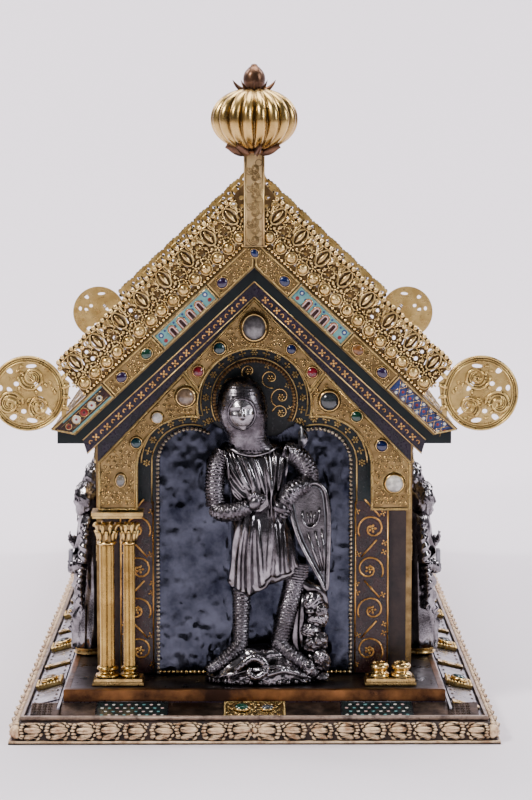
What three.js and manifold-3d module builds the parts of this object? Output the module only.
// Reliquary casket: a house-shaped oak shrine clad in gilt filigree, enamel and silver.
// Millimetres. +X is right and -Y is the front seen from the front gable, +Z is up.
// The origin is the middle of the underside.

import * as THREE from "three";
import { mergeVertices } from "three/addons/utils/BufferGeometryUtils.js";
import Module from "manifold-3d";

const wasm = await Module();
wasm.setup();

// Clearance between pieces that rest on or against each other
const GAP = 0.3;

// Base: carved leaf moulding round a board, with a band of sloping plates inside it
const BASE_WIDTH = 460;
const BASE_LENGTH = 1200;
const MOULDING_WIDTH = 14;
const MOULDING_HEIGHT = 25;
const MOULDING_FILLET = 4;
const LEAF_PITCH = 24.5;
const LEAF_PROUD = 4;
const LEAF_MARGIN = 1.2;
const BASE_BOARD_HEIGHT = 20;
const PLATE_BAND_WIDTH = 34;
const PLATE_OUTER_RISE = 2.5;
const PLATE_INNER_RISE = 7.5;
const PLINTH_BOARD_HEIGHT = 21.6;

// Oak box under the roof
const BODY_WIDTH = 295.4;
const GABLE_SETBACK = 122;
const WALL = 18;

// Roof of two boards, with its gable ends
const RIDGE_HEIGHT = 470;
const ROOF_PITCH = THREE.MathUtils.degToRad(43.1);
const ROOF_WIDTH = 382;
const ROOF_SETBACK = 48;
const ROOF_BOARD = 20;
const EAVES_CUT_RUN = 23;
const ROOF_PANELS = 6;
const ROOF_PANEL_GAP = 26;
const ROOF_PANEL_MARGIN = 30;
const ROOF_PANEL_DEPTH = 2.5;
const RIDGE_ROLL_WIDTH = 24;
const RIDGE_ROLL_HEIGHT = 11;
const BARGEBOARD_THICKNESS = 6;
const END_BOARD_DEPTH = 21;
const END_BOARD_FRONT = 23;
const END_BOARD_SEAT = 18;
const END_BOARD_TAIL_REACH = 17;
const END_BOARD_TAIL_DROP = 8;

// Openwork crest on each rake, a disc at each eaves end, and a knob on each gable
const CREST_HEIGHT = 43;
const CREST_THICKNESS = 3;
const CREST_PITCH = 28.4;
const CREST_SCALLOP = 2;
const CREST_SLIT_LENGTH = 17;
const CREST_SLIT_WIDTH = 3.6;
const CREST_SLIT_SPREAD = 7.2;
const CREST_EDGE = 2;
const DISC_RADIUS = 36;
const DISC_OUT = 38.6;
const DISC_UP = 8;
const DISC_FOOT_WIDTH = 26;
const DISC_HOLES = 4;
const DISC_SIDES = 18;
const POST_WIDTH = 19.5;
const POST_THICKNESS = 2.6;
const POST_LAP = 8;
const POST_HEIGHT = 86;
const KNOB_RADIUS = 40.4;
const KNOB_HEIGHT = 60;
const KNOB_LOBES = 16;
const KNOB_VALLEY = 0.93;
const KNOB_CALYX_RADIUS = 17;
const KNOB_COLLAR = 2.4;
const BUD_RADIUS = 9.4;
const BUD_HEIGHT = 20;

// Cladding of a gable wall, the silver niche panel and the trefoil plates before it
const CLADDING = 2.4;
const CLADDING_WIDTH = 263;
const NICHE_PANEL = 3;
const NICHE_WIDTH = 190;
const NICHE_LOBE_RADIUS = 35;
const NICHE_DROP = 2.4;
const LUNETTE_RADIUS = 45;
const TREFOIL_PLATE = 6.6;
const TREFOIL_WIDTH = 297.6;
const TREFOIL_LEG_WIDTH = 38;
const TREFOIL_SIDE_RADIUS = 49;
const TREFOIL_SIDE_RISE = 40;
const TREFOIL_TOP_RADIUS = 53.3;
const TREFOIL_LOBE_RISE = 60.6;
const TREFOIL_CROWN = 49.6;
const TREFOIL_SEAM_ANGLE = THREE.MathUtils.degToRad(12);
const TREFOIL_SEAM_RUN = 15;

// Paired columns under the trefoil plates
const COLUMN_PLATE_WIDTH = 49;
const COLUMN_PLATE_DEPTH = 30;
const COLUMN_PLATE_HEIGHT = 6;
const COLUMN_BASE_HEIGHT = 15;
const COLUMN_CAPITAL_HEIGHT = 20;
const ABACUS_HEIGHT = 6;
const OUTER_SHAFT_RADIUS = 7.2;
const INNER_SHAFT_RADIUS = 5.6;
const COLUMN_SPREAD = 18.6;
const COLUMN_SETBACK = 8;
const COLUMN_PLATE_INSET = 2;
const ABACUS_INSET = 4;

// Arcade of each long side
const BAYS = 6;
const ARCADE_END = 22;
const ARCADE_OPENING = 112;
const ARCADE_THICKNESS = 7;
const ARCADE_SPRING = 150;
const ARCADE_COLUMN_RADIUS = 6.5;
const ARCADE_CAPITAL = 14;

// Figures
const SAINT_HEIGHT = 170;
const CONSOLE_RADIUS = 22;
const CONSOLE_HEIGHT = 8;
const KNIGHT_HEAD_RISE = 27.8;
const BACK_SAINT_DROP = 0.4;

// Places that follow from the sizes
const MOULDING_BODY_INSET = LEAF_PROUD;
const BOARD_INSET = MOULDING_WIDTH + GAP;
const BAND_TOP = BASE_BOARD_HEIGHT + GAP;
const PLINTH_INSET = BOARD_INSET + PLATE_BAND_WIDTH + GAP;
const PLINTH_HALF_WIDTH = BASE_WIDTH / 2 - PLINTH_INSET;
const PLINTH_HALF_LENGTH = BASE_LENGTH / 2 - PLINTH_INSET;
const BODY_LENGTH = BASE_LENGTH - 2 * GABLE_SETBACK;
const ROOF_LENGTH = BASE_LENGTH - 2 * ROOF_SETBACK;
const BAY_PITCH = (BODY_LENGTH - 2 * ARCADE_END) / BAYS;
const FLOOR = BASE_BOARD_HEIGHT + GAP + PLINTH_BOARD_HEIGHT;
const FOOT = FLOOR + GAP;
const SLOPE = Math.tan(ROOF_PITCH);
const TIP_X = ROOF_WIDTH / 2;
const TIP_Z = RIDGE_HEIGHT - TIP_X * SLOPE;
const BOARD_DROP = ROOF_BOARD / Math.cos(ROOF_PITCH);
const SOFFIT_APEX = RIDGE_HEIGHT - BOARD_DROP;
const INNER_TIP_X = TIP_X - EAVES_CUT_RUN;
const WALL_FACE = BODY_LENGTH / 2;
const CLADDING_FACE = WALL_FACE + GAP + CLADDING;
const NICHE_FACE = CLADDING_FACE + GAP + NICHE_PANEL;
const ROOF_END = ROOF_LENGTH / 2;
const TREFOIL_FACE = ROOF_END - END_BOARD_FRONT - GAP;
const TREFOIL_BACK = TREFOIL_FACE - TREFOIL_PLATE;
const BARGEBOARD_FACE = ROOF_END + GAP + BARGEBOARD_THICKNESS;
const CREST_MIDDLE = ROOF_END + GAP + BARGEBOARD_THICKNESS / 2;
const END_BOARD_DROP = END_BOARD_DEPTH / Math.cos(ROOF_PITCH);
const TREFOIL_APEX = SOFFIT_APEX - 2 * GAP - END_BOARD_DROP;
const TREFOIL_TOP_CENTRE = TREFOIL_APEX - TREFOIL_CROWN - TREFOIL_TOP_RADIUS;
const KNIGHT_HEIGHT = TREFOIL_TOP_CENTRE + KNIGHT_HEAD_RISE - FOOT;
const BACK_SAINT_HEIGHT = TREFOIL_TOP_CENTRE - FOOT + BACK_SAINT_DROP;
const TREFOIL_SIDE_CENTRE = TREFOIL_TOP_CENTRE - TREFOIL_LOBE_RISE;
const TREFOIL_FOOT = TREFOIL_SIDE_CENTRE - TREFOIL_SIDE_RISE;
const RAKE_LENGTH = TIP_X / Math.cos(ROOF_PITCH);
const DISC_RUN = RAKE_LENGTH - DISC_UP;
const SIDE_FACE = BODY_WIDTH / 2;
const ARCADE_FACE = SIDE_FACE + GAP + ARCADE_THICKNESS;

const GILT = new THREE.MeshStandardMaterial({ color: 0xc79a45, roughness: 0.34, metalness: 1 });
const SILVER = new THREE.MeshStandardMaterial({ color: 0x8d8a8c, roughness: 0.3, metalness: 1 });
const ENAMEL = new THREE.MeshStandardMaterial({ color: 0x2b1a22, roughness: 0.35, metalness: 0.2 });
const OAK = new THREE.MeshStandardMaterial({ color: 0x33221a, roughness: 0.75, metalness: 0 });
const CARVED = new THREE.MeshStandardMaterial({ color: 0xcdb896, roughness: 0.6, metalness: 0 });

// A closed three.js geometry as a solid for cutting and joining
function solidOf(geometry) {
  const bare = geometry.index ? geometry.toNonIndexed() : geometry.clone();
  bare.deleteAttribute("normal");
  bare.deleteAttribute("uv");
  const merged = mergeVertices(bare, 1e-4);
  const vertProperties = new Float32Array(merged.attributes.position.array);
  const triVerts = new Uint32Array(merged.index.array);
  return new wasm.Manifold(new wasm.Mesh({ numProp: 3, vertProperties, triVerts }));
}

function geometryOf(solid) {
  const mesh = solid.getMesh();
  const geometry = new THREE.BufferGeometry();
  geometry.setAttribute("position", new THREE.BufferAttribute(new Float32Array(mesh.vertProperties), 3));
  geometry.setIndex(new THREE.BufferAttribute(new Uint32Array(mesh.triVerts), 1));
  geometry.computeVertexNormals();
  return geometry;
}

function join(geometries) {
  return geometryOf(geometries.map(solidOf).reduce((whole, next) => whole.add(next)));
}

function cut(geometry, tools) {
  return geometryOf(tools.map(solidOf).reduce((whole, tool) => whole.subtract(tool), solidOf(geometry)));
}

function trim(geometry, keep) {
  return geometryOf(solidOf(geometry).intersect(solidOf(keep)));
}

function box(x0, x1, y0, y1, z0, z1) {
  const geometry = new THREE.BoxGeometry(x1 - x0, y1 - y0, z1 - z0);
  return geometry.translate((x0 + x1) / 2, (y0 + y1) / 2, (z0 + z1) / 2);
}

function wound(points, clockwise) {
  return THREE.ShapeUtils.isClockWise(points) === clockwise ? points : [...points].reverse();
}

// A plate drawn in the X-Z plane, reaching from y0 to y1
function plate(outline, y0, y1, holes = []) {
  const shape = new THREE.Shape(wound(outline, false));
  shape.holes = holes.map((hole) => new THREE.Path(wound(hole, true)));
  const geometry = new THREE.ExtrudeGeometry(shape, { depth: y1 - y0, bevelEnabled: false });
  return geometry.rotateX(Math.PI / 2).translate(0, y1, 0);
}

function point(x, z) {
  return new THREE.Vector2(x, z);
}

function arc(centre, radius, start, end, steps) {
  const points = [];
  for (let i = 0; i <= steps; i += 1) {
    const angle = start + ((end - start) * i) / steps;
    points.push(point(centre.x + radius * Math.cos(angle), centre.y + radius * Math.sin(angle)));
  }
  return points;
}

// A mitred rectangular frame whose section is given as points of inset and height
function frameRing(halfX, halfY, section) {
  const corners = [[1, -1], [1, 1], [-1, 1], [-1, -1]];
  const positions = [];
  for (const [signX, signY] of corners) {
    for (const [inset, z] of section) {
      positions.push(signX * (halfX - inset), signY * (halfY - inset), z);
    }
  }
  const count = section.length;
  const index = [];
  for (let side = 0; side < corners.length; side += 1) {
    const next = (side + 1) % corners.length;
    for (let i = 0; i < count; i += 1) {
      const j = (i + 1) % count;
      const [a, b, c, d] = [side * count + i, next * count + i, next * count + j, side * count + j];
      index.push(a, b, c, a, c, d);
    }
  }
  const geometry = new THREE.BufferGeometry();
  geometry.setAttribute("position", new THREE.Float32BufferAttribute(positions, 3));
  geometry.setIndex(index);
  return geometry;
}

// Rings of equally many points joined into one closed skin, lowest ring first, counter-clockwise seen from above
function loft(rings) {
  const count = rings[0].length;
  const positions = [];
  const index = [];
  for (const ring of rings) {
    for (const corner of ring) {
      positions.push(corner.x, corner.y, corner.z);
    }
  }
  for (let level = 0; level < rings.length - 1; level += 1) {
    for (let i = 0; i < count; i += 1) {
      const a = level * count + i;
      const b = level * count + ((i + 1) % count);
      index.push(a, b, b + count, a, b + count, a + count);
    }
  }
  const top = (rings.length - 1) * count;
  for (let i = 1; i < count - 1; i += 1) {
    index.push(0, i + 1, i);
    index.push(top, top + i, top + i + 1);
  }
  const geometry = new THREE.BufferGeometry();
  geometry.setAttribute("position", new THREE.Float32BufferAttribute(positions, 3));
  geometry.setIndex(index);
  return geometry;
}

// A tapering round limb through the given points, each [x, y, z, radius]
function limb(stations, sides) {
  const path = stations.map(([x, y, z]) => new THREE.Vector3(x, y, z));
  const rings = stations.map(([, , , radius], i) => {
    const ahead = path[Math.min(i + 1, path.length - 1)];
    const behind = path[Math.max(i - 1, 0)];
    const along = ahead.clone().sub(behind).normalize();
    const helper = Math.abs(along.z) > 0.9 ? new THREE.Vector3(1, 0, 0) : new THREE.Vector3(0, 0, 1);
    const across = helper.clone().cross(along).normalize();
    const up = along.clone().cross(across);
    return Array.from({ length: sides }, (_, k) => {
      const angle = (2 * Math.PI * k) / sides;
      return path[i].clone()
        .addScaledVector(across, radius * Math.cos(angle))
        .addScaledVector(up, radius * Math.sin(angle));
    });
  });
  return loft(rings);
}

function blob(x, y, z, radiusX, radiusY, radiusZ, around = 8, up = 6) {
  const geometry = new THREE.SphereGeometry(1, around, up);
  return geometry.rotateX(Math.PI / 2).scale(radiusX, radiusY, radiusZ).translate(x, y, z);
}

function turned(profile, sides) {
  const outline = profile.map(([radius, height]) => new THREE.Vector2(radius, height));
  return new THREE.LatheGeometry(outline, sides).rotateX(Math.PI / 2);
}

function named(name, geometry, material) {
  const mesh = new THREE.Mesh(geometry, material.clone());
  mesh.name = name;
  return mesh;
}

// Base

function leafMoulding() {
  const halfX = BASE_WIDTH / 2;
  const halfY = BASE_LENGTH / 2;
  const body = frameRing(halfX, halfY, [
    [MOULDING_WIDTH, 0],
    [0, 0],
    [0, MOULDING_FILLET],
    [MOULDING_BODY_INSET, MOULDING_FILLET],
    [MOULDING_BODY_INSET, MOULDING_HEIGHT],
    [MOULDING_WIDTH, MOULDING_HEIGHT],
  ]);
  const rows = [0, 1, 2, 3].map((turn) => {
    const run = (turn % 2 === 0 ? BASE_WIDTH : BASE_LENGTH) - 2 * MOULDING_BODY_INSET;
    const face = (turn % 2 === 0 ? halfY : halfX) - MOULDING_BODY_INSET;
    return leafRow(run, face).rotateZ((turn * Math.PI) / 2);
  });
  return join([body, ...rows]);
}

// A row of leaves on the -Y side: each one swells to a point in the middle and pinches in at its ends
function leafRow(run, face) {
  const count = Math.round(run / LEAF_PITCH);
  const pitch = run / count;
  const low = MOULDING_FILLET + LEAF_MARGIN;
  const high = MOULDING_HEIGHT - LEAF_MARGIN;
  const back = -face + MOULDING_WIDTH / 3;
  const positions = [];
  for (let i = 0; i <= count; i += 1) {
    const x = i * pitch - run / 2;
    positions.push(x, -face, low, x, -face, high, x + pitch / 2, -face - LEAF_PROUD, (low + high) / 2);
  }
  const first = (count + 1) * 3;
  positions.push(-run / 2, back, low, run / 2, back, low, run / 2, back, high, -run / 2, back, high);
  const [backLowLeft, backLowRight, backHighRight, backHighLeft] = [first, first + 1, first + 2, first + 3];
  const index = [];
  for (let i = 0; i < count; i += 1) {
    const [a, b, tip] = [i * 3, i * 3 + 1, i * 3 + 2];
    const [c, d] = [a + 3, b + 3];
    index.push(a, c, tip, c, d, tip, d, b, tip, b, a, tip);
    index.push(c, a, backLowLeft, b, d, backHighLeft);
  }
  const last = count * 3;
  index.push(last, backLowLeft, backLowRight, last + 1, backHighRight, backHighLeft);
  index.push(last, backLowRight, backHighRight, last, backHighRight, last + 1);
  index.push(0, 1, backHighLeft, 0, backHighLeft, backLowLeft);
  index.push(backLowLeft, backHighLeft, backHighRight, backLowLeft, backHighRight, backLowRight);
  const geometry = new THREE.BufferGeometry();
  geometry.setAttribute("position", new THREE.Float32BufferAttribute(positions, 3));
  geometry.setIndex(index);
  return geometry;
}

function baseBoard() {
  const halfX = BASE_WIDTH / 2 - BOARD_INSET;
  const halfY = BASE_LENGTH / 2 - BOARD_INSET;
  return box(-halfX, halfX, -halfY, halfY, 0, BASE_BOARD_HEIGHT);
}

function plateBand() {
  return frameRing(BASE_WIDTH / 2 - BOARD_INSET, BASE_LENGTH / 2 - BOARD_INSET, [
    [PLATE_BAND_WIDTH, BAND_TOP],
    [0, BAND_TOP],
    [0, BAND_TOP + PLATE_OUTER_RISE],
    [PLATE_BAND_WIDTH, BAND_TOP + PLATE_INNER_RISE],
  ]);
}

function plinthBoard() {
  return box(
    -PLINTH_HALF_WIDTH, PLINTH_HALF_WIDTH,
    -PLINTH_HALF_LENGTH, PLINTH_HALF_LENGTH,
    FLOOR - PLINTH_BOARD_HEIGHT, FLOOR,
  );
}

// Box and roof

function soffitHeight(x) {
  return SOFFIT_APEX - GAP - Math.abs(x) * SLOPE;
}

function sideBoard(side) {
  const outer = side * SIDE_FACE;
  const inner = side * (SIDE_FACE - WALL);
  const outline = [
    point(outer, FOOT),
    point(inner, FOOT),
    point(inner, soffitHeight(inner)),
    point(outer, soffitHeight(outer)),
  ];
  const reach = WALL_FACE - WALL - GAP;
  return plate(outline, -reach, reach);
}

function gableBoard() {
  const outline = [
    point(-SIDE_FACE, FOOT),
    point(SIDE_FACE, FOOT),
    point(SIDE_FACE, soffitHeight(SIDE_FACE)),
    point(0, soffitHeight(0)),
    point(-SIDE_FACE, soffitHeight(SIDE_FACE)),
  ];
  return plate(outline, -WALL_FACE, -WALL_FACE + WALL);
}

function rakeOutline(side) {
  const seam = GAP / 2;
  return [
    point(side * seam, RIDGE_HEIGHT - seam * SLOPE),
    point(side * TIP_X, TIP_Z),
    point(side * INNER_TIP_X, SOFFIT_APEX - INNER_TIP_X * SLOPE),
    point(side * seam, SOFFIT_APEX - seam * SLOPE),
  ];
}

// A frame of axes on a roof slope: X down the slope, Z square out of it
function ontoSlope(geometry, side) {
  if (side < 0) {
    geometry.rotateZ(Math.PI);
  }
  return geometry.rotateY(side * ROOF_PITCH).translate(0, 0, RIDGE_HEIGHT);
}

function roofBoard(side) {
  const board = plate(rakeOutline(side), -ROOF_END, ROOF_END);
  const panelLength = (ROOF_LENGTH - 2 * ROOF_PANEL_MARGIN - (ROOF_PANELS - 1) * ROOF_PANEL_GAP) / ROOF_PANELS;
  const panels = [];
  for (let i = 0; i < ROOF_PANELS; i += 1) {
    const start = -ROOF_END + ROOF_PANEL_MARGIN + i * (panelLength + ROOF_PANEL_GAP);
    const panel = box(
      ROOF_PANEL_MARGIN, RAKE_LENGTH - ROOF_PANEL_MARGIN,
      start, start + panelLength,
      -ROOF_PANEL_DEPTH, ROOF_PANEL_DEPTH,
    );
    panels.push(ontoSlope(panel, side));
  }
  return cut(board, panels);
}

function ridgeRoll() {
  const half = RIDGE_ROLL_WIDTH / 2;
  const seat = RIDGE_HEIGHT + GAP / Math.cos(ROOF_PITCH);
  const crown = seat + RIDGE_ROLL_HEIGHT;
  const outline = [
    point(0, seat),
    point(half, seat - half * SLOPE),
    point(half * 0.9, seat - half * SLOPE + RIDGE_ROLL_HEIGHT * 0.75),
    point(half * 0.45, crown - 2),
    point(0, crown),
    point(-half * 0.45, crown - 2),
    point(-half * 0.9, seat - half * SLOPE + RIDGE_ROLL_HEIGHT * 0.75),
    point(-half, seat - half * SLOPE),
  ];
  return plate(outline, -ROOF_END, ROOF_END);
}

// Gable end, drawn for the front

// The line under the end board, which the trefoil plates fit against
function endBoardHeight(x) {
  return soffitHeight(x) - END_BOARD_DROP;
}

function mirrored(right) {
  return right.map((corner) => point(-corner.x, corner.y)).reverse();
}

function endBoard() {
  const innerTipZ = soffitHeight(INNER_TIP_X);
  const tailX = INNER_TIP_X + END_BOARD_TAIL_REACH;
  const tailRise = ((TIP_Z - GAP - innerTipZ) * END_BOARD_TAIL_REACH) / EAVES_CUT_RUN;
  const tailZ = innerTipZ - END_BOARD_TAIL_DROP;
  const chevron = (extra) => {
    const apex = endBoardHeight(0) - extra / Math.cos(ROOF_PITCH);
    const right = [
      point(INNER_TIP_X, innerTipZ),
      point(tailX, innerTipZ + tailRise - GAP),
      point(tailX, tailZ),
      point((apex - tailZ) / SLOPE, tailZ),
    ];
    return [point(0, soffitHeight(0)), ...right, point(0, apex), ...mirrored(right)];
  };
  const front = plate(chevron(0), -ROOF_END, -CLADDING_FACE - GAP);
  const seat = plate(chevron(END_BOARD_SEAT), -TREFOIL_BACK + GAP, -CLADDING_FACE - GAP);
  return join([front, seat]);
}

function bargeboard(side) {
  return plate(rakeOutline(side), -BARGEBOARD_FACE, -ROOF_END - GAP);
}

// A place on the rake: run down the slope from the ridge, rise square to it
function onRake(side, run, rise) {
  return point(
    side * (run * Math.cos(ROOF_PITCH) + rise * Math.sin(ROOF_PITCH)),
    RIDGE_HEIGHT - run * Math.sin(ROOF_PITCH) + rise * Math.cos(ROOF_PITCH),
  );
}

// The run where a crest stops, just short of its disc
function crestRun() {
  return DISC_RUN - DISC_RADIUS - CREST_EDGE;
}

function slit(side, run, rise, lean) {
  const half = CREST_SLIT_LENGTH / 2;
  return [
    onRake(side, run, rise - half),
    onRake(side, run + lean * CREST_SLIT_WIDTH, rise),
    onRake(side, run, rise + half),
  ];
}

function rakeCrest(side) {
  const end = crestRun();
  const mitre = (rise) => (GAP / 2 - rise * Math.sin(ROOF_PITCH)) / Math.cos(ROOF_PITCH);
  const shoulder = CREST_HEIGHT - CREST_SCALLOP;
  const motifs = Math.ceil((end - mitre(CREST_HEIGHT)) / CREST_PITCH);
  const inside = (corner) => corner.x * side > CREST_EDGE;
  const outline = [onRake(side, mitre(GAP), GAP), onRake(side, end, GAP)];
  const slits = [];
  for (let i = 0; i < motifs; i += 1) {
    const last = end - i * CREST_PITCH;
    const scallop = [onRake(side, last, shoulder), onRake(side, last - CREST_PITCH / 2, CREST_HEIGHT)];
    outline.push(...scallop.filter(inside));
    for (const lean of [-1, 1]) {
      const run = last - CREST_PITCH / 2 + lean * CREST_SLIT_SPREAD;
      const opening = slit(side, run, (CREST_HEIGHT * 2) / 3, lean);
      if (opening.every(inside)) {
        slits.push(opening);
      }
    }
  }
  outline.push(onRake(side, mitre(shoulder), shoulder));
  const half = CREST_THICKNESS / 2;
  return plate(outline, -CREST_MIDDLE - half, -CREST_MIDDLE + half, slits);
}

function eavesDisc(side) {
  const hub = onRake(side, DISC_RUN, DISC_OUT);
  const rim = arc(hub, DISC_RADIUS, 0, 2 * Math.PI, DISC_SIDES).slice(1);
  const holes = [];
  for (let i = 0; i < DISC_HOLES; i += 1) {
    const start = (2 * Math.PI * i) / DISC_HOLES;
    const outer = arc(hub, DISC_RADIUS * 0.8, start, start + 1.1, 3);
    holes.push([...outer, point(
      hub.x + DISC_RADIUS * 0.42 * Math.cos(start + 0.45),
      hub.y + DISC_RADIUS * 0.42 * Math.sin(start + 0.45),
    )]);
  }
  const half = CREST_THICKNESS / 2;
  const disc = plate(rim, -CREST_MIDDLE - half, -CREST_MIDDLE + half, holes);
  const footHalf = DISC_FOOT_WIDTH / 2;
  const footRun = RAKE_LENGTH - footHalf;
  const foot = plate([
    onRake(side, footRun - footHalf, GAP),
    onRake(side, footRun + footHalf, GAP),
    onRake(side, footRun + footHalf, DISC_OUT - DISC_RADIUS * 0.85),
    onRake(side, footRun - footHalf, DISC_OUT - DISC_RADIUS * 0.72),
  ], -CREST_MIDDLE - half, -CREST_MIDDLE + half);
  return join([disc, foot]);
}

function post() {
  const front = -BARGEBOARD_FACE - GAP - POST_THICKNESS;
  const half = POST_WIDTH / 2;
  const foot = RIDGE_HEIGHT - POST_LAP;
  return box(-half, half, front, front + POST_THICKNESS, foot, foot + POST_HEIGHT);
}

function knob() {
  const foot = RIDGE_HEIGHT - POST_LAP + POST_HEIGHT + GAP;
  const middle = foot + KNOB_COLLAR + KNOB_HEIGHT / 2;
  const levels = [-0.97, -0.7, 0, 0.7, 0.97];
  const around = KNOB_LOBES * 2;
  const rings = levels.map((level) => {
    const swell = Math.sqrt(1 - level * level) ** 0.8;
    return Array.from({ length: around }, (_, k) => {
      const angle = (2 * Math.PI * k) / around;
      const radius = KNOB_RADIUS * swell * (k % 2 === 0 ? 1 : KNOB_VALLEY);
      return new THREE.Vector3(
        radius * Math.cos(angle), radius * Math.sin(angle), middle + (level * KNOB_HEIGHT) / 2,
      );
    });
  });
  const melon = loft(rings);
  const calyx = turned([
    [0, foot],
    [POST_WIDTH / 3, foot],
    [KNOB_CALYX_RADIUS, foot + KNOB_COLLAR],
    [KNOB_CALYX_RADIUS, foot + KNOB_COLLAR * 3],
    [0, foot + KNOB_COLLAR * 3],
  ], 7);
  const crown = middle + KNOB_HEIGHT / 2;
  const bud = turned([
    [0, crown - KNOB_COLLAR * 2],
    [KNOB_CALYX_RADIUS, crown - KNOB_COLLAR],
    [BUD_RADIUS * 0.6, crown + BUD_HEIGHT * 0.1],
    [BUD_RADIUS, crown + BUD_HEIGHT * 0.5],
    [0, crown + BUD_HEIGHT],
  ], 7);
  return join([melon, calyx, bud]).translate(0, -BARGEBOARD_FACE - GAP - POST_THICKNESS / 2, 0);
}

function gableCladding() {
  const half = CLADDING_WIDTH / 2;
  const shoulder = soffitHeight(half) - GAP;
  const outline = [
    point(-half, FOOT),
    point(half, FOOT),
    point(half, shoulder),
    point(0, soffitHeight(0) - GAP),
    point(-half, shoulder),
  ];
  return plate(outline, -CLADDING_FACE, -WALL_FACE - GAP);
}

// The silver panel: two side lobes with the lunette rising between them
function nichePanel() {
  const half = NICHE_WIDTH / 2;
  const lobe = point(half - NICHE_LOBE_RADIUS, TREFOIL_SIDE_CENTRE - NICHE_DROP);
  const crown = point(0, TREFOIL_TOP_CENTRE - NICHE_DROP);
  const lobeArc = arc(lobe, NICHE_LOBE_RADIUS, 0, Math.PI * 0.62, 5);
  const lunetteArc = arc(crown, LUNETTE_RADIUS, -0.45, Math.PI / 2, 5);
  const right = [point(half, FOOT), ...lobeArc, ...lunetteArc];
  const left = mirrored(right).slice(1);
  return plate([...right, ...left], -NICHE_FACE, -CLADDING_FACE - GAP);
}

// Trefoil plates: two side plates with legs, and the apex plate that closes the arch
function trefoilCentres() {
  return {
    side: point(TREFOIL_WIDTH / 2 - TREFOIL_LEG_WIDTH - TREFOIL_SIDE_RADIUS, TREFOIL_SIDE_CENTRE),
    top: point(0, TREFOIL_TOP_CENTRE),
  };
}

function trefoilOuterHeight(x) {
  return endBoardHeight(x) - GAP;
}

function trefoilSide(side) {
  const half = TREFOIL_WIDTH / 2;
  const { side: lobe, top } = trefoilCentres();
  const cuspAngle = cuspOnLobe(lobe, top);
  const cuspOnTop = Math.atan2(
    lobe.y + TREFOIL_SIDE_RADIUS * Math.sin(cuspAngle) - top.y,
    lobe.x + TREFOIL_SIDE_RADIUS * Math.cos(cuspAngle),
  );
  const seamFoot = seamPoints(top);
  const right = [
    point(half, trefoilOuterHeight(half)),
    point(seamFoot.outer.x + GAP, trefoilOuterHeight(seamFoot.outer.x + GAP)),
    point(seamFoot.inner.x + GAP, seamFoot.inner.y),
    ...arc(top, TREFOIL_TOP_RADIUS, cuspOnTop, TREFOIL_SEAM_ANGLE - 0.05, 2).reverse().slice(1),
    ...arc(lobe, TREFOIL_SIDE_RADIUS, 0, cuspAngle, 6).reverse().slice(1),
    point(half - TREFOIL_LEG_WIDTH, TREFOIL_FOOT),
    point(half, TREFOIL_FOOT),
  ];
  const outline = side > 0 ? right : mirrored(right);
  return plate(outline, -TREFOIL_FACE, -TREFOIL_BACK);
}

// Where a side lobe meets the top lobe, as an angle on the side lobe
function cuspOnLobe(lobe, top) {
  const across = top.x - lobe.x;
  const up = top.y - lobe.y;
  const apart = Math.hypot(across, up);
  const nearness = (TREFOIL_SIDE_RADIUS ** 2 - TREFOIL_TOP_RADIUS ** 2 + apart ** 2) / (2 * apart);
  return Math.atan2(up, across) - Math.acos(nearness / TREFOIL_SIDE_RADIUS);
}

function seamPoints(top) {
  const inner = arc(top, TREFOIL_TOP_RADIUS, TREFOIL_SEAM_ANGLE, Math.PI, 1)[0];
  const outerX = inner.x + TREFOIL_SEAM_RUN;
  return { inner, outer: point(outerX, trefoilOuterHeight(outerX)) };
}

function trefoilApex() {
  const { top } = trefoilCentres();
  const { outer } = seamPoints(top);
  const lobe = arc(top, TREFOIL_TOP_RADIUS, TREFOIL_SEAM_ANGLE, Math.PI - TREFOIL_SEAM_ANGLE, 10);
  const outline = [
    point(outer.x, outer.y),
    point(0, trefoilOuterHeight(0)),
    point(-outer.x, outer.y),
    ...lobe.reverse(),
  ];
  return plate(outline, -TREFOIL_FACE, -TREFOIL_BACK);
}

// Columns

function columnPlate(height) {
  const outer = TREFOIL_WIDTH / 2 + COLUMN_SETBACK - COLUMN_PLATE_INSET;
  return box(
    outer - COLUMN_PLATE_WIDTH, outer,
    -TREFOIL_FACE - COLUMN_SETBACK, -TREFOIL_FACE - COLUMN_SETBACK + COLUMN_PLATE_DEPTH,
    height, height + COLUMN_PLATE_HEIGHT,
  );
}

function columnPlaces() {
  const outerX = TREFOIL_WIDTH / 2 - COLUMN_SETBACK;
  const y = -TREFOIL_FACE - COLUMN_SETBACK + COLUMN_PLATE_DEPTH / 2;
  return [
    { x: outerX, y, radius: OUTER_SHAFT_RADIUS },
    { x: outerX - COLUMN_SPREAD, y, radius: INNER_SHAFT_RADIUS },
  ];
}

function columnBase({ x, y, radius }) {
  const z = FOOT + COLUMN_PLATE_HEIGHT - GAP;
  return turned([
    [0, z],
    [radius * 1.5, z],
    [radius * 1.1, z + COLUMN_BASE_HEIGHT * 0.5],
    [radius * 1.35, z + COLUMN_BASE_HEIGHT],
    [0, z + COLUMN_BASE_HEIGHT],
  ], 8).translate(x, y, 0);
}

function columnShaft({ x, y, radius }) {
  const z = FOOT + COLUMN_PLATE_HEIGHT + COLUMN_BASE_HEIGHT - 1;
  const crown = TREFOIL_FOOT - GAP - ABACUS_HEIGHT + 1;
  const neck = crown - COLUMN_CAPITAL_HEIGHT;
  return turned([[0, z], [radius, z], [radius, neck], [radius * 1.7, crown], [0, crown]], 8).translate(x, y, 0);
}

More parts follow.
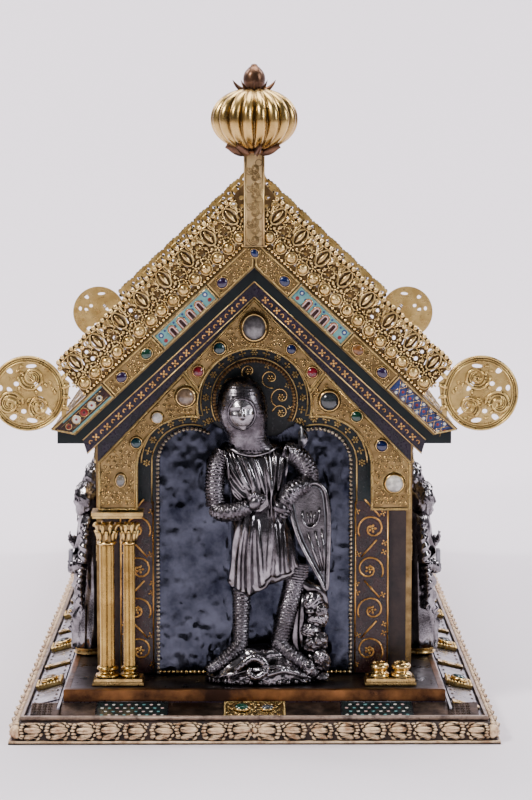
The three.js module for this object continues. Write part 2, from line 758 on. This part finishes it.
function columnPair(side) {
  const places = columnPlaces();
  const abacusWidth = COLUMN_PLATE_WIDTH - 2 * ABACUS_INSET;
  const abacusTop = TREFOIL_FOOT - GAP;
  const middleX = (places[0].x + places[1].x) / 2;
  const abacus = box(
    middleX - abacusWidth / 2, middleX + abacusWidth / 2,
    places[0].y - COLUMN_PLATE_DEPTH / 2 + 1, places[0].y + COLUMN_PLATE_DEPTH / 2 - 1,
    abacusTop - ABACUS_HEIGHT, abacusTop,
  );
  const pair = join([columnPlate(FOOT), ...places.map(columnBase), ...places.map(columnShaft), abacus]);
  return side > 0 ? pair : flipped(pair);
}

function columnRemains(side) {
  const remains = join([columnPlate(FOOT), ...columnPlaces().map(columnBase)]);
  return side > 0 ? remains : flipped(remains);
}

// The same piece mirrored to the other side of the X = 0 plane
function flipped(geometry) {
  const mirror = geometry.index ? geometry.toNonIndexed() : geometry.clone();
  mirror.scale(-1, 1, 1);
  const position = mirror.attributes.position;
  const corner = new THREE.Vector3();
  const other = new THREE.Vector3();
  for (let i = 0; i < position.count; i += 3) {
    corner.fromBufferAttribute(position, i + 1);
    other.fromBufferAttribute(position, i + 2);
    position.setXYZ(i + 1, other.x, other.y, other.z);
    position.setXYZ(i + 2, corner.x, corner.y, corner.z);
  }
  mirror.computeVertexNormals();
  return mirror;
}

// Long side, drawn in a frame where -Y faces outward and X runs along the wall

function arcadeOutline() {
  const half = (BAYS * BAY_PITCH) / 2;
  const edge = half + ARCADE_END / 2;
  const top = soffitHeight(ARCADE_FACE) - GAP;
  const outline = [point(-edge, FOOT)];
  const radius = ARCADE_OPENING / 2;
  for (let bay = 0; bay < BAYS; bay += 1) {
    const middle = -half + (bay + 0.5) * BAY_PITCH;
    outline.push(point(middle - radius, FOOT));
    outline.push(...arc(point(middle, FOOT + ARCADE_SPRING), radius, Math.PI, 0, 6));
    outline.push(point(middle + radius, FOOT));
  }
  outline.push(point(edge, FOOT), point(edge, top), point(-edge, top));
  return outline;
}

function arcade() {
  const face = ARCADE_FACE;
  const pieces = [plate(arcadeOutline(), -face, -SIDE_FACE - GAP)];
  const radius = ARCADE_COLUMN_RADIUS;
  for (let pier = 1; pier < BAYS; pier += 1) {
    const middle = (pier - BAYS / 2) * BAY_PITCH;
    for (const x of [middle - radius * 1.6, middle + radius * 1.6]) {
      const top = FOOT + ARCADE_SPRING - GAP;
      const shaft = turned([[0, FOOT], [radius, FOOT], [radius, top], [0, top]], 6);
      pieces.push(shaft.translate(x, -face, 0));
    }
    const width = radius * 3;
    pieces.push(box(
      middle - width, middle + width, -face - radius - 2, -face + 1,
      FOOT + ARCADE_SPRING - ARCADE_CAPITAL, FOOT + ARCADE_SPRING,
    ));
    pieces.push(box(middle - width, middle + width, -face - radius - 2, -face + 1, FOOT, FOOT + ARCADE_CAPITAL / 2));
  }
  return join(pieces);
}

// A standing robed figure: rings of [height, half width, half depth, forward lean, fold depth] as shares of its height
const ROBED_RINGS = [
  [0.0, 0.17, 0.08, 0.0, 0.16],
  [0.3, 0.145, 0.08, 0.01, 0.14],
  [0.62, 0.19, 0.1, 0.02, 0.06],
  [0.78, 0.16, 0.075, 0.01, 0.02],
  [0.84, 0.06, 0.055, 0.005, 0],
  [0.91, 0.075, 0.066, 0.02, 0],
  [0.97, 0.058, 0.058, 0.015, 0],
  [1.0, 0.02, 0.02, 0.01, 0],
];
const FOLDS = 3;

function robedFigure(height, foot, turn, around) {
  const rings = ROBED_RINGS.map(([rise, wide, deep, lean, fold]) => (
    Array.from({ length: around }, (_, k) => {
      const angle = (2 * Math.PI * k) / around;
      const swell = 1 + fold * Math.cos(FOLDS * angle + turn + rise * 3);
      return new THREE.Vector3(
        height * wide * swell * Math.cos(angle),
        height * (deep * swell * Math.sin(angle) - lean),
        foot + height * rise,
      );
    })
  ));
  const bookWidth = height * 0.07;
  const side = Math.cos(turn) > 0 ? 1 : -1;
  const book = box(-bookWidth / 2, bookWidth / 2, -height * 0.145, -height * 0.06, -bookWidth * 0.8, bookWidth * 0.8);
  book.rotateY(side * 0.25).translate(side * height * 0.05, 0, foot + height * 0.6);
  return join([loft(rings), book]);
}

// One saint of a long side, on its console, in the long side's frame
function saint(bay) {
  const x = (bay + 0.5 - BAYS / 2) * BAY_PITCH;
  const behind = SIDE_FACE + GAP;
  const stand = turned([
    [0, FOOT],
    [CONSOLE_RADIUS * 0.7, FOOT],
    [CONSOLE_RADIUS, FOOT + CONSOLE_HEIGHT],
    [0, FOOT + CONSOLE_HEIGHT],
  ], 6);
  stand.scale(1, 0.6, 1).translate(0, -behind - CONSOLE_RADIUS * 0.6, 0);
  const figure = robedFigure(SAINT_HEIGHT, FOOT + CONSOLE_HEIGHT - 1, bay * 1.3, 8);
  figure.translate(0, -behind - SAINT_HEIGHT * 0.1, 0);
  const reach = SAINT_HEIGHT * 2;
  const wall = box(-reach, reach, -behind - reach, -behind, FOOT, FOOT + reach);
  return trim(join([stand, figure]), wall).translate(x, 0, 0);
}

// The figure of the back gable
function backSaint() {
  const figure = robedFigure(BACK_SAINT_HEIGHT, FOOT, 0.4, 10);
  figure.translate(0, -NICHE_FACE - GAP - BACK_SAINT_HEIGHT * 0.08, 0);
  const space = box(-80, 80, -TREFOIL_FACE - 20, -NICHE_FACE - GAP, FOOT, FOOT + BACK_SAINT_HEIGHT + 10);
  return trim(figure, space);
}

// The knight of the front gable, drawn in shares of its height above its feet

function knight() {
  const h = KNIGHT_HEIGHT;
  const around = 10;
  const tunic = [
    [0.25, -0.01, 0.13, 0.075, 0.16],
    [0.33, 0.0, 0.125, 0.08, 0.14],
    [0.48, -0.005, 0.1, 0.07, 0.12],
    [0.6, -0.01, 0.088, 0.062, 0.05],
    [0.7, -0.015, 0.1, 0.07, 0.02],
    [0.765, -0.02, 0.115, 0.06, 0],
    [0.79, -0.03, 0.06, 0.05, 0],
  ].map(([rise, shift, wide, deep, fold]) => (
    Array.from({ length: around }, (_, k) => {
      const angle = (2 * Math.PI * k) / around;
      const swell = 1 + fold * Math.cos(FOLDS * angle + 0.6);
      return new THREE.Vector3(
        h * (shift + wide * swell * Math.cos(angle)), h * deep * swell * Math.sin(angle), h * rise,
      );
    })
  ));
  const at = (stations) => limb(stations.map((station) => station.map((value) => value * h)), 5);
  const head = [
    at([[-0.04, 0, 0.77, 0.05], [-0.042, -0.005, 0.81, 0.056]]),
    blob(-0.042 * h, -0.01 * h, 0.885 * h, 0.082 * h, 0.08 * h, 0.095 * h, 8, 6),
  ];
  const limbs = [
    at([[-0.11, 0, 0.75, 0.042], [-0.14, -0.02, 0.62, 0.04], [-0.14, -0.06, 0.54, 0.036]]),
    at([[-0.14, -0.05, 0.555, 0.036], [-0.07, -0.1, 0.58, 0.034], [0.0, -0.11, 0.6, 0.03]]),
    at([[0.1, 0, 0.755, 0.042], [0.17, -0.02, 0.68, 0.04], [0.19, -0.05, 0.64, 0.036]]),
    at([[0.19, -0.04, 0.65, 0.036], [0.13, -0.09, 0.61, 0.034], [0.07, -0.11, 0.58, 0.03]]),
    at([[-0.05, 0, 0.3, 0.05], [-0.045, -0.01, 0.18, 0.042], [-0.055, -0.01, 0.06, 0.034]]),
    at([[-0.05, 0, 0.09, 0.034], [-0.1, -0.05, 0.055, 0.026], [-0.15, -0.08, 0.035, 0.018]]),
    at([[0.1, 0, 0.33, 0.05], [0.085, -0.015, 0.18, 0.042], [0.1, -0.01, 0.08, 0.034]]),
    at([[0.095, 0, 0.1, 0.034], [0.14, -0.06, 0.06, 0.026], [0.19, -0.1, 0.03, 0.018]]),
  ];
  const shield = plate([
    point(0.13 * h, 0.6 * h),
    point(0.21 * h, 0.68 * h),
    point(0.25 * h, 0.6 * h),
    point(0.255 * h, 0.3 * h),
    point(0.235 * h, 0.25 * h),
    point(0.17 * h, 0.42 * h),
  ].reverse(), -0.06 * h, -0.02 * h);
  const beast = [
    blob(0.21 * h, -0.03 * h, 0.13 * h, 0.04 * h, 0.06 * h, 0.11 * h, 6, 5),
    blob(0.215 * h, -0.07 * h, 0.215 * h, 0.035 * h, 0.04 * h, 0.04 * h, 6, 5),
  ];
  const mound = blob(0.03 * h, -0.02 * h, 0, 0.2 * h, 0.12 * h, 0.09 * h, 10, 6);
  const whole = join([loft(tunic), ...head, ...limbs, shield, ...beast, mound]);
  whole.translate(0, -NICHE_FACE - GAP - h * 0.075, FOOT);
  const space = box(-h, h, -NICHE_FACE - h, -NICHE_FACE - GAP, FOOT, FOOT + h * 2);
  return trim(whole, space);
}

// Assembly

function gableEnd(end) {
  const group = new THREE.Group();
  const front = end === "front";
  const sides = front ? { left: -1, right: 1 } : { left: 1, right: -1 };
  group.add(named(`gable_board_${end}`, gableBoard(), OAK));
  group.add(named(`gable_cladding_${end}`, gableCladding(), ENAMEL));
  group.add(named(`niche_panel_${end}`, nichePanel(), SILVER));
  group.add(named(`roof_end_board_${end}`, endBoard(), OAK));
  group.add(named(`trefoil_apex_${end}`, trefoilApex(), GILT));
  group.add(named(`post_${end}`, post(), GILT));
  group.add(named(`knob_${end}`, knob(), GILT));
  for (const [side, sign] of Object.entries(sides)) {
    group.add(named(`bargeboard_${end}_${side}`, bargeboard(sign), GILT));
    group.add(named(`rake_crest_${end}_${side}`, rakeCrest(sign), GILT));
    group.add(named(`eaves_disc_${end}_${side}`, eavesDisc(sign), GILT));
    group.add(named(`trefoil_${end}_${side}`, trefoilSide(sign), GILT));
    if (front && side === "right") {
      group.add(named("column_bases_front_right", columnRemains(sign), GILT));
    } else {
      group.add(named(`column_pair_${end}_${side}`, columnPair(sign), GILT));
    }
  }
  group.add(front ? named("knight_front", knight(), SILVER) : named("saint_back", backSaint(), SILVER));
  group.rotation.z = front ? 0 : Math.PI;
  return group;
}

function longSide(side, sign) {
  const group = new THREE.Group();
  group.add(named(`arcade_${side}`, arcade(), GILT));
  for (let bay = 0; bay < BAYS; bay += 1) {
    group.add(named(`saint_${side}_${bay + 1}`, saint(bay), SILVER));
  }
  group.rotation.z = (sign * Math.PI) / 2;
  return group;
}

const casket = new THREE.Group();
casket.add(named("leaf_moulding", leafMoulding(), CARVED));
casket.add(named("base_board", baseBoard(), OAK));
casket.add(named("plate_band", plateBand(), SILVER));
casket.add(named("plinth_board", plinthBoard(), OAK));
casket.add(named("ridge_roll", ridgeRoll(), GILT));
for (const [side, sign] of [["left", -1], ["right", 1]]) {
  casket.add(named(`side_board_${side}`, sideBoard(sign), OAK));
  casket.add(named(`roof_board_${side}`, roofBoard(sign), GILT));
  casket.add(longSide(side, sign));
}
casket.add(gableEnd("front"), gableEnd("back"));

export default casket;
